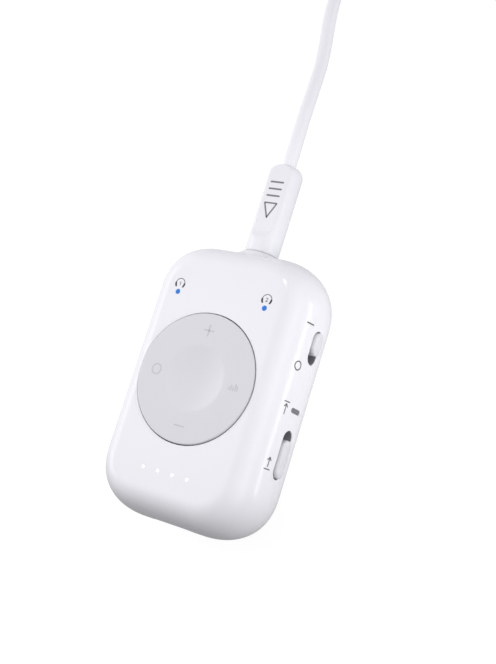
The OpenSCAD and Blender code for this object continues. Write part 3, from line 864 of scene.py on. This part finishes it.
# %% Knobs and tubs
def stadium_loop(half, radius, count=72):
    """A stadium's outline as flat points: nearest points to a wide ring of directions."""
    wide = circle(count) * [2 * (half + radius), 4 * radius]
    return stadium_point(wide[:, 0], wide[:, 1], half, radius)


def side_loop(y, x, half, radius):
    """A stadium outline standing in a plane of one x on the switch side."""
    flat = stadium_loop(half, max(radius, 1e-3))
    return np.column_stack([np.full(len(flat), x), y + flat[:, 0], MID_Z + flat[:, 1]])


def side_box(solid, x, y, z, bevel=0.08):
    """A block from pairs of limits, with its four long edges cut at 45 degrees."""
    (y0, y1), (z0, z1), cut = y, z, bevel
    ys = np.array([y0 + cut, y1 - cut, y1, y1, y1 - cut, y0 + cut, y0, y0])
    zs = np.array([z0, z0, z0 + cut, z1 - cut, z1, z1, z1 - cut, z0 + cut])
    solid.skin(np.stack([np.column_stack([np.full(8, at), ys, zs]) for at in x]))


KNOB_EDGE, KNOB_GAP, CROWN = 0.5, 0.15, 0.12
STEM_HALF, TAIL_T = (1, 0.7), 0.9
TAIL_SPAN, TAIL_HALF = (0.56, 1.8), 1.5   # each half of the tail beside the switch's lever
SIDE_IN = HALF_X - WALL
TUB_IN = SIDE_IN - 0.5


def knob(name, node, body):
    """A pill with a rounded edge and a crowned top, its stem and its slotted tail."""
    lo, hi = box_mm(node)
    y, radius = (lo[1] + hi[1]) / 2, SLOT_R - KNOB_GAP
    half = (hi[1] - lo[1]) / 2 - radius
    face, root = hi[0], TUB_IN + 0.1
    a = np.linspace(0, math.pi / 2, 9)
    rings = [(root, 0.1), (root + 0.1, 0)]
    rings += [(face - CROWN - KNOB_EDGE * (1 - math.sin(t)), KNOB_EDGE * (1 - math.cos(t)))
              for t in a]
    rings += [(face - CROWN * ((radius - inset) / (radius - KNOB_EDGE)) ** 2, inset)
              for inset in np.linspace(0.62, 1.28, 7)]
    solid = Solid()
    solid.skin(np.stack([side_loop(y, x, half, radius - inset) for x, inset in rings]))
    tail = (lo[0], lo[0] + TAIL_T)
    side_box(solid, (tail[1] - 0.02, root + 0.05), (y - STEM_HALF[0], y + STEM_HALF[0]),
             (MID_Z - STEM_HALF[1], MID_Z + STEM_HALF[1]))
    for sign in (-1, 1):
        edges = sorted(y + sign * at for at in TAIL_SPAN)
        side_box(solid, tail, edges, (MID_Z - TAIL_HALF, MID_Z + TAIL_HALF))
    piece = report(solid.mesh(name))
    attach(piece, body)
    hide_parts(node)
    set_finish(piece, "knob_white")
    return piece


def tub(name, node, slot):
    """A dark floor with a window for the stem, and a thin wall that lines the slot."""
    y, half = slot["y"], slot["half"]
    wall_r, floor_r = SLOT_R - 0.012, SLOT_R + 0.7
    window_r, window_reach, below_rim = 0.85, 1.9, 0.12
    top = side_at(np.array([y]), np.array([MID_Z + SLOT_R]))[0] - below_rim
    lo, hi = box_mm(node)
    walls = [(hi[0], wall_r - 0.07), (top, wall_r - 0.05), (top, wall_r),
             (hi[0] + 0.05, wall_r), (hi[0], floor_r), (lo[0], floor_r)]
    loops = [side_loop(y, x, half, radius) for x, radius in walls]
    above, below = (side_loop(y, x, window_reach - window_r, window_r) for x in (hi[0], lo[0]))
    solid = Solid()
    solid.skin(np.stack([above, *loops, below, above]), close=False)
    piece = report(solid.mesh(name))
    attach(piece, "case")
    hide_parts(node)
    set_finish(piece, "liner_dark")
    return piece


knobs = [knob("power_pill", "power_knob", "power_slider"),
         knob("mode_pill", "mode_knob", "mode_slider")]
tubs = [tub("power_tub", "power_slot_liner", power_slot),
        tub("mode_tub", "mode_slot_liner", mode_slot)]


# %% [markdown]
# ## Microphone mesh and lamp lenses
# The microphone port is closed by a strip of fine mesh that follows the side's curve, and
# each lamp ends in a small lens whose dome barely stands out of the face.


# %% Mesh strip and lenses
def mic_strip():
    """A stadium with its front set just under the case's surface and slightly crowned."""
    back = SIDE_IN + 0.05
    flat = stadium_loop(MIC_HALF, MIC_R - 0.03, 48)[:, ::-1]
    y, z = MIC_Y + flat[:, 0], MID_Z + flat[:, 1]
    loops = [np.column_stack([np.full(len(flat), back), y, z])]
    crown = ((1, 0.14), (0.97, 0.1), (0.85, 0.07), (0.5, 0.05))
    for shrink, sink in crown:
        y, z = MIC_Y + flat[:, 0] * shrink, MID_Z + flat[:, 1] * shrink
        loops.append(np.column_stack([side_at(y, z) - sink, y, z]))
    solid = Solid()
    solid.skin(np.stack(loops))
    return solid.mesh("microphone_mesh")


mesh_strip = report(mic_strip())
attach(mesh_strip, "case")
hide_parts("mic_grille")
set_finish(mesh_strip, "grille_grey")


def dome(radius, rise, steps=8):
    """A lens top: radius * cos a across and rise * sin a up, from the rim to the middle."""
    return [(radius * math.cos(a), rise * math.sin(a))
            for a in np.linspace(0, math.pi / 2 * 0.98, steps)]


def lens(radius, foot, rise, flare=None):
    """Half section of a light guide from its foot to its domed top."""
    flare_top, neck, sink = 0.6, 0.75, 0.02
    section = [(AXIS, foot), (flare or radius, foot)]
    if flare:
        section += [(flare, foot + flare_top), (radius, foot + neck)]
    return section + [(r, TOP_Z - sink + z) for r, z in dome(radius, rise)]


guide_foot = box_mm("blue_led_lenses")[0][2]
signal_lenses = Solid()
for x, y in signal_at:
    signal_lenses.skin(turned(lens(SIGNAL_R, guide_foot, 0.07, 1.0), 40) + np.array([x, y, 0]))
signal_lens = report(signal_lenses.mesh("signal_lenses"))
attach(signal_lens, "case")
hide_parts("blue_led_lenses")
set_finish(signal_lens, "led_blue")

guide_low, guide_high = box_mm("battery_light_guide")
battery_guide = Solid()
bar_loop = np.array([[1, 1], [-1, 1], [-1, -1], [1, -1]])
bar_half = (guide_high[:2] - guide_low[:2]) / 2
bar_mid = (guide_high[:2] + guide_low[:2]) / 2
battery_guide.skin(np.stack([
    np.column_stack([bar_mid + bar_loop * (bar_half - cut), np.full(4, guide_low[2] + z)])
    for z, cut in ((0, 0.05), (0.05, 0), (0.75, 0), (0.8, 0.05))]))
for x, y in battery_at:
    battery_guide.skin(turned(lens(BATTERY_R, guide_low[2] + 0.7, 0.05), 32) + np.array([x, y, 0]))
battery_lens = report(battery_guide.mesh("battery_lenses"))
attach(battery_lens, "case")
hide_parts("battery_light_guide")
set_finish(battery_lens, "lens_clear")

# %% [markdown]
# ## Plugs
# Both ends of the cable carry the same plug: a round housing with a flat pressed into its
# face for the thumb, and a metal pin in three parts, kept apart by two dark bands. The housing
# is a turned shape whose radius is cut down where the flat is: the radius is the smaller
# of the cylinder's and the flat's distance over the cosine of the angle.

# %% Plug housing
PLUG_R, PLUG_L = 3.3, 18.15
FLAT_HALF, FLAT_START = 2.25, 2.6
SHOULDER = 1.9
NECK_R = CORD_D / 2 + 0.02


def plug_radius(s):
    """Radius along the housing from its face: a small lip, the barrel, the round shoulder."""
    over = np.clip((s - (PLUG_L - SHOULDER)) / SHOULDER, 0, 1)
    barrel = PLUG_R - SHOULDER + SHOULDER * np.sqrt(1 - over ** 2)
    lip = np.clip(1 - s / 0.25, 0, 1)
    return barrel - 0.25 * (1 - np.sqrt(1 - lip ** 2))


def flat_distance(s):
    """How far the pressed flat lies from the axis. Its half width is w = W near the
    shoulder and rounds off like a circle at the other end, and a flat of half width w on
    a cylinder of radius R lies sqrt(R^2 - w^2) from the axis."""
    end = np.clip((FLAT_START + FLAT_HALF - s) / FLAT_HALF, 0, 1)
    half = FLAT_HALF * np.sqrt(1 - end ** 2)
    return np.sqrt(PLUG_R ** 2 - half ** 2)


def housing_loops(sides=160):
    """Circles along the housing, pulled in to the flat where that lies closer, with the
    corner between the two rounded by a soft minimum."""
    s = np.concatenate([np.linspace(0, 0.25, 5), np.linspace(0.6, 3, 5),
                        np.linspace(3.05, 5.4, 36), np.linspace(5.8, PLUG_L - SHOULDER, 16),
                        PLUG_L - SHOULDER + SHOULDER * np.sin(np.linspace(0.1, math.pi / 2, 14))])
    cos, sin = circle(sides).T
    barrel = plug_radius(s)[:, None]
    towards_flat, far_off = 0.2, 99
    across = np.where(cos > towards_flat,
                      flat_distance(s)[:, None] / np.maximum(cos, towards_flat), far_off)
    gap, soft = barrel - across, 0.08
    radius = barrel - (gap + np.sqrt(gap ** 2 + soft ** 2)) / 2
    loops = np.stack([radius * sin, np.broadcast_to(s[:, None], radius.shape), radius * cos], -1)
    face = loops[:1] * np.array([0.5, 1, 0.5])
    neck = np.stack([NECK_R * sin, np.full(sides, PLUG_L), NECK_R * cos], -1)[None]
    return np.concatenate([face, loops, neck])


PIN_R, PIN_L, ROOT_R = 1.75, 14.0, 1.4
SLEEVE_END, RING_END, BREAK = 7.3, 10.3, 0.6
pin_parts = {
    "sleeve": [(AXIS, 4.5), (ROOT_R, 4.5), (ROOT_R, 0.2), (ROOT_R, 0.0), (PIN_R, 0),
               (PIN_R, -SLEEVE_END + 0.05), (PIN_R - 0.05, -SLEEVE_END), (AXIS, -SLEEVE_END)],
    "ring": [(AXIS, -SLEEVE_END - BREAK), (PIN_R - 0.05, -SLEEVE_END - BREAK),
             (PIN_R, -SLEEVE_END - BREAK - 0.05), (PIN_R, -RING_END + 0.05),
             (PIN_R - 0.05, -RING_END), (AXIS, -RING_END)],
    "tip": [(AXIS, -RING_END - BREAK), (PIN_R, -RING_END - BREAK), (PIN_R, -RING_END - 0.9),
            (1.25, -RING_END - 1.5), (1.2, -RING_END - 1.8), (1.5, -RING_END - 2.15),
            (PIN_R - 0.06, -RING_END - 2.4), (1.4, -RING_END - 2.7), (0.75, -PIN_L + 0.25),
            (0.4, -PIN_L + 0.04), (AXIS, -PIN_L)],
}
BREAK_R = PIN_R - 0.02
band_sections = [[(AXIS, -e), (BREAK_R, -e), (BREAK_R, -e - BREAK),
                  (AXIS, -e - BREAK)] for e in (SLEEVE_END, RING_END)]


def along(profile):
    """A turned piece laid along Y."""
    return turned(profile, 64)[..., [0, 2, 1]]


def plug(prefix, face, turn):
    """Housing, pin and bands of one plug. face is where the housing's face stands, and
    turn is 1 if the pin points to -Y and -1 if it points to +Y."""
    flip = np.array([turn, turn, 1])
    made = []
    barrel = Solid()
    barrel.skin(housing_loops() * flip + face)
    made.append(("housing", barrel, "case_white"))
    for part, profile in pin_parts.items():
        solid = Solid()
        solid.skin(along(profile) * flip + face)
        made.append((part, solid, "gold_plate"))
    bands = Solid()
    for profile in band_sections:
        bands.skin(along(profile) * flip + face)
    made.append(("insulators", bands, "black_plastic"))
    pieces = []
    for part, solid, slot in made:
        piece = report(solid.mesh(f"{prefix}_{part}_shape"))
        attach(piece, "cable")
        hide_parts(f"{prefix}_{part}")
        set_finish(piece, slot)
        pieces.append(piece)
    return pieces


near_face = np.array([0, box_mm("plug_housing")[0][1], MID_Z])
far_low, far_high = box_mm("far_plug_housing")
far_face = (far_low + far_high) / 2
far_face[1] = far_high[1]
near_plug = plug("plug", near_face, 1)
far_plug = plug("far_plug", far_face, -1)


# %% Sign on the plug's flat
def on_flat(face, turn):
    """Puts a flat point on the pressed flat: u runs towards the cable, v across."""
    def place(uv, lift):
        s, across = uv[:, 0], uv[:, 1]
        up = flat_distance(s) + lift
        return np.column_stack([-across * turn, s * turn, up]) + face
    return place


def plug_sign(prefix, face, turn):
    """A triangle that points to the pin and three cross bars: this end goes in."""
    point, base, half = 7.0, 9.9, 1.35
    triangle = [(point, 0), (base, half), (base, -half), (point, 0)]
    bars = [([(s, -1.3), (s, 1.3)], 0.34, False) for s in (11.4, 12.8, 14.2)]
    strokes = [(triangle, 0.3, False)] + bars
    return print_mark(f"{prefix}_sign", "cable", strokes, on_flat(face, turn), "liner_dark")


plug_signs = [plug_sign("plug", near_face, 1), plug_sign("far_plug", far_face, -1)]

# %% [markdown]
# ## Cable band
# A soft band holds the coil's two layers together. Its section is the outline of the four
# strands it wraps, a square with corners as round as the cable, carried across its width
# with the edges slightly turned out.


# %% Band
def band_loop(half, corner, y):
    """A rounded square round the four strands, in the plane across the coil."""
    round_about = circle(96)
    ring = (half - corner) * np.sign(round_about) + corner * round_about
    x = COIL_AT[0] + sum(COIL_RADII) / 2 + ring[:, 0]
    z = sum(COIL_LAYERS) / 2 + ring[:, 1]
    return np.column_stack([x, np.full(len(ring), COIL_AT[1] + y), z])


TIE_T, TIE_HALF = 0.22, 1.35
inside_half = CORD_D + 0.01
rings = [(inside_half, -TIE_HALF), (inside_half + 0.05, -TIE_HALF - 0.06),
         (inside_half + TIE_T, -TIE_HALF), (inside_half + TIE_T - 0.04, -0.7),
         (inside_half + TIE_T - 0.06, 0), (inside_half + TIE_T - 0.04, 0.7),
         (inside_half + TIE_T, TIE_HALF), (inside_half + 0.05, TIE_HALF + 0.06),
         (inside_half, TIE_HALF), (inside_half, 0), (inside_half, -TIE_HALF)]
band = Solid()
band.skin(np.stack([band_loop(half, CORD_D / 2 + half - inside_half, y) for half, y in rings]),
          close=False)
cable_band = report(band.mesh("cable_band"))
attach(cable_band, "cable")
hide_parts("cord_tie")
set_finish(cable_band, "tie_white")

# %% [markdown]
# ## Finishes
# Moulded plastic is never one flat value: the skin has a faint mottle from the mould, a
# roughness that drifts from place to place, and a fine texture that bends highlights.
# Each finish is the same small recipe with its own numbers, all on object coordinates, so
# it stays put when a part moves.


# %% Shader nodes
def fill(tree, node, inputs):
    """Gives each named or numbered input a value, or a link if it is another's output."""
    for socket, value in inputs.items():
        if isinstance(value, bpy.types.NodeSocket):
            tree.links.new(value, node.inputs[socket])
        else:
            node.inputs[socket].default_value = value


def add_node(tree, kind, inputs=None):
    """Adds a shader node and fills its inputs."""
    made = tree.nodes.new("ShaderNode" + kind)
    fill(tree, made, inputs or {})
    return made


def times(tree, one, two):
    """The product of two values."""
    product = add_node(tree, "Math", {0: one, 1: two})
    product.operation = "MULTIPLY"
    return product.outputs[0]


def mixed(tree, factor, one, two):
    """A colour that runs from one to another as a factor rises."""
    mix = tree.nodes.new("ShaderNodeMix")
    mix.data_type = "RGBA"
    fill(tree, mix, {"Factor": factor, "A": (*one, 1), "B": (*two, 1)})
    return mix.outputs["Result"]


# %% Finish recipe
def finish(name, colour, drift, size, rough, bump, grain, depth=0.01, constants=None):
    """Colour that drifts by a few percent with large soft noise, roughness that moves
    between two values, and a bump from fine noise. Other values are set on the shader."""
    made = bpy.data.materials.new(name)
    made.use_nodes = True
    tree = made.node_tree
    place = add_node(tree, "TexCoord").outputs["Object"]
    soft, fine = (add_node(tree, "TexNoise", {"Scale": scale, "Detail": detail,
                                              "Vector": place}).outputs["Fac"]
                  for scale, detail in ((size, 3), (grain, 2)))
    colour = np.array(colour)
    spread = add_node(tree, "MapRange", {"Value": soft, "To Min": rough[0], "To Max": rough[1]})
    relief = add_node(tree, "Bump", {"Strength": bump, "Distance": depth * MM, "Height": fine})
    fill(tree, tree.nodes["Principled BSDF"], {
        "Base Color": mixed(tree, soft, colour * (1 - drift), np.minimum(colour * (1 + drift), 1)),
        "Roughness": spread.outputs["Result"], "Normal": relief.outputs["Normal"],
        **(constants or {})})
    return made


def wear(piece, material):
    """Gives a piece one finish."""
    piece.data.materials.clear()
    piece.data.materials.append(material)


# colour, how far it drifts, scale of the drift, roughness, bump, scale of the bump, and
# for some the bump's depth in mm and values set on the shader
METAL = {"Metallic": 1.0}
recipes = {
    "case_white": ((0.80, 0.80, 0.83), 0.006, 150, (0.16, 0.2), 0.02, 2500, 0.004),
    "dial_grey": ((0.63, 0.63, 0.66), 0.01, 300, (0.28, 0.34), 0.12, 9000, 0.006,
                  {"Specular IOR Level": 1.0}),
    "knob_white": ((0.67, 0.67, 0.70), 0.01, 400, (0.34, 0.4), 0.08, 8000, 0.006),
    "liner_dark": ((0.26, 0.26, 0.28), 0.1, 900, (0.5, 0.65), 0.15, 9000),
    "black_plastic": ((0.03, 0.03, 0.033), 0.1, 900, (0.4, 0.55), 0.15, 9000),
    "board_green": ((0.02, 0.12, 0.05), 0.12, 1500, (0.25, 0.35), 0.1, 5000),
    "tinned_steel": ((0.62, 0.62, 0.63), 0.05, 900, (0.22, 0.36), 0.12, 7000, 0.01, METAL),
    "gold_plate": ((0.86, 0.62, 0.25), 0.04, 900, (0.14, 0.22), 0.04, 6000, 0.01, METAL),
    # lens_clear: the clear battery light guides carry a faint white emission, a painted glow that
    # brightens them
    "lens_clear": ((0.95, 0.95, 0.97), 0.01, 900, (0.1, 0.14), 0.02, 3000, 0.01,
                   {"Emission Color": (1, 1, 1, 1), "Emission Strength": 0.22}),
    "phosphor": ((0.9, 0.78, 0.3), 0.06, 2500, (0.3, 0.4), 0.1, 9000),
    "ceramic": ((0.62, 0.55, 0.4), 0.1, 2500, (0.45, 0.6), 0.15, 9000),
    "rubber_black": ((0.03, 0.03, 0.03), 0.1, 900, (0.6, 0.75), 0.2, 6000),
    "pouch": ((0.6, 0.61, 0.63), 0.05, 250, (0.3, 0.45), 0.4, 700, 0.05, {"Metallic": 0.9}),
    "foam_grey": ((0.06, 0.06, 0.065), 0.25, 2500, (0.8, 0.95), 0.6, 3500, 0.1),
    "wire_red": ((0.5, 0.02, 0.02), 0.06, 900, (0.35, 0.45), 0.1, 5000),
    "wire_black": ((0.02, 0.02, 0.02), 0.1, 900, (0.35, 0.45), 0.1, 5000),
    "cord_white": ((0.84, 0.84, 0.87), 0.01, 200, (0.34, 0.42), 0.1, 2500, 0.01),
    "tie_white": ((0.6, 0.6, 0.63), 0.03, 500, (0.55, 0.65), 0.3, 4000, 0.02),
    "led_blue": ((0.01, 0.09, 0.35), 0.05, 900, (0.15, 0.2), 0.02, 3000, 0.01,
                 {"Emission Color": (0.004, 0.1, 0.37, 1), "Emission Strength": 1.0}),
}
finishes = {name: finish(name, *recipe) for name, recipe in recipes.items()}

# %% [markdown]
# The microphone's mesh is woven wire too fine to model: a grid of dark holes, drawn by
# two crossed waves, darkens the colour.


# %% Woven mesh finish
def woven(name, colour, pitch):
    """Two wave textures, one along Y and one along Z, multiplied into a grid of holes. A
    wave of scale 1 repeats every pi / 10, so pi / 10 over the pitch gives one per wire."""
    made = finish(name, colour, 0.05, 900, (0.45, 0.6), 0.1, 6000)
    tree = made.node_tree
    place = next(n for n in tree.nodes if n.bl_idname == "ShaderNodeTexCoord")
    waves = []
    for direction in ("Y", "Z"):
        wave = add_node(tree, "TexWave", {"Scale": 0.314 / (pitch * MM),
                                          "Vector": place.outputs["Object"]})
        wave.bands_direction = direction
        waves.append(wave.outputs["Fac"])
    shade = mixed(tree, times(tree, *waves), colour, np.array(colour) * 0.35)
    fill(tree, tree.nodes["Principled BSDF"], {"Base Color": shade})
    return made


finishes["grille_grey"] = woven("grille_grey", (0.2, 0.2, 0.215), 0.16)
ink_grey = finish("ink_grey", (0.1, 0.1, 0.108), 0.05, 900, (0.45, 0.55), 0.05, 5000)
ink_pale = finish("ink_pale", (0.52, 0.52, 0.55), 0.03, 900, (0.5, 0.6), 0.05, 5000)
plug_ink = finish("plug_ink", (0.2, 0.2, 0.215), 0.05, 900, (0.4, 0.5), 0.05, 5000)

# %% Dress every piece
for name, node in nodes.items():
    wear(node, finishes[node.data.materials[0].name.split(".")[0]])
for piece in [case_front, case_rear, dial_piece, *knobs, *tubs, mesh_strip, signal_lens,
              battery_lens, *near_plug, *far_plug, cable_band, audio_cable]:
    wear(piece, finishes[piece["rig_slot"]])
for mark in dial_marks:
    wear(mark, ink_pale)
for mark in ink_marks:
    wear(mark, ink_grey)
for mark in plug_signs:
    wear(mark, plug_ink)


# %% [markdown]
# ## Table and light
# White on white needs light that differs from side to side. The sky here is a formula of
# direction: bright overhead and towards the switch side, dim beyond the port end, so the
# case keeps an edge there. The table looks plain white, but what it throws back onto the
# case fades to dark near the port end, as a black flag laid beside it would make it.


# %% Graded light
def graded(tree, source, axis, limits, values):
    """A value that runs smoothly from one to another as a coordinate crosses two limits."""
    split = add_node(tree, "SeparateXYZ", {"Vector": source})
    ramp = add_node(tree, "MapRange", {
        "From Min": limits[0], "From Max": limits[1], "To Min": values[0],
        "To Max": values[1], "Value": split.outputs[axis]})
    ramp.interpolation_type = "SMOOTHSTEP"
    return ramp.outputs["Result"]


COOL_WHITE = (0.97, 0.965, 1.0, 1)
world = bpy.data.worlds.new("studio")
world.use_nodes = True
sky = world.node_tree
direction = add_node(sky, "TexCoord").outputs["Generated"]
across = graded(sky, direction, "X", (0.1, 0.85), (0.9, 1.12))
lengthwise = graded(sky, direction, "Y", (-0.95, 0.1), (0.4, 0.76))
fill(sky, sky.nodes["Background"], {"Color": COOL_WHITE,
                                    "Strength": times(sky, across, lengthwise)})
bpy.context.scene.world = world

# %% Table
REACH = 3.0
table_data = bpy.data.meshes.new("table")
table_data.from_pydata([(-REACH, -REACH, 0), (REACH, -REACH, 0), (REACH, REACH, 0),
                        (-REACH, REACH, 0)], [], [(0, 1, 2, 3)])
table = new_object("table", table_data)
paper = bpy.data.materials.new("paper")
paper.use_nodes = True
tree = paper.node_tree
tree.nodes.clear()
seen = add_node(tree, "LightPath").outputs["Is Camera Ray"]
at = add_node(tree, "TexCoord").outputs["Object"]
from_port_end = graded(tree, at, "Y", (-0.05, 0.0), (0.2, 0.95))
from_left = graded(tree, at, "X", (-0.03, 0.03), (0.85, 0.6))
thrown = add_node(tree, "Emission", {"Color": COOL_WHITE,
                                     "Strength": times(tree, from_port_end, from_left)})
plain = add_node(tree, "Emission", {"Strength": 0.9})
matte = add_node(tree, "BsdfDiffuse", {"Color": (0.14, 0.14, 0.14, 1)})
white = add_node(tree, "AddShader", {0: plain.outputs[0], 1: matte.outputs[0]})
choice = add_node(tree, "MixShader", {"Fac": seen, 1: thrown.outputs[0], 2: white.outputs[0]})
add_node(tree, "OutputMaterial", {"Surface": choice.outputs[0]})
wear(table, paper)

# %% [markdown]
# A strip low on the switch side draws the bright line along that edge, and a weak softbox
# far to the left draws the glare on the other. Two fills and a lamp overhead light the
# matte part of each surface only, so they even out the whites and leave no reflection.
# One small lamp makes the spark on the corner.


# %% Lamps
def lamp(name, at, aim, size, glow):
    """A rectangular lamp turned towards a point. Its power gives the glow asked for, in
    watts per square metre and steradian: glow * pi * area."""
    data = bpy.data.lights.new(name, "AREA")
    data.shape = "RECTANGLE"
    data.size, data.size_y = size[0] * MM, size[1] * MM
    data.energy = glow * math.pi * data.size * data.size_y
    piece = new_object(name, data)
    back = (Vector(at) - Vector(aim)).normalized()
    along_y = (Vector((0, 1, 0)) - back * back.y).normalized()
    turn = Matrix((along_y, back.cross(along_y), back)).transposed()
    piece.matrix_world = Matrix.Translation(Vector(at) * MM) @ turn.to_4x4()
    piece.visible_camera = False
    return piece


# where it stands, the point it faces, its two sides, its glow, and if gloss shows it
lamps = {
    "side_strip": ((40, 6, 1), (16, 4, 13), (50, 6), 3.5, True),
    "left_softbox": ((-230, 10, 135), (0, 0, 15), (220, 120), 1.2, True),
    "left_fill": ((-230, 10, 135), (0, 0, 15), (220, 120), 3.4, False),
    "overhead": ((2, 0, 72), (2, 0, 18), (40, 40), 1.4, False),
    "right_fill": ((240, 0, 60), (0, 0, 12), (220, 80), 3.9, False),
    "corner_spark": ((21.7, 79, 71), (11.7, 20.5, 17.6), (15, 11), 9, True),
}
for name, (*numbers, in_gloss) in lamps.items():
    lamp(name, *numbers).visible_glossy = in_gloss
bpy.context.scene.view_settings.view_transform = "Standard"

# %% Update the scene
bpy.context.view_layer.update()
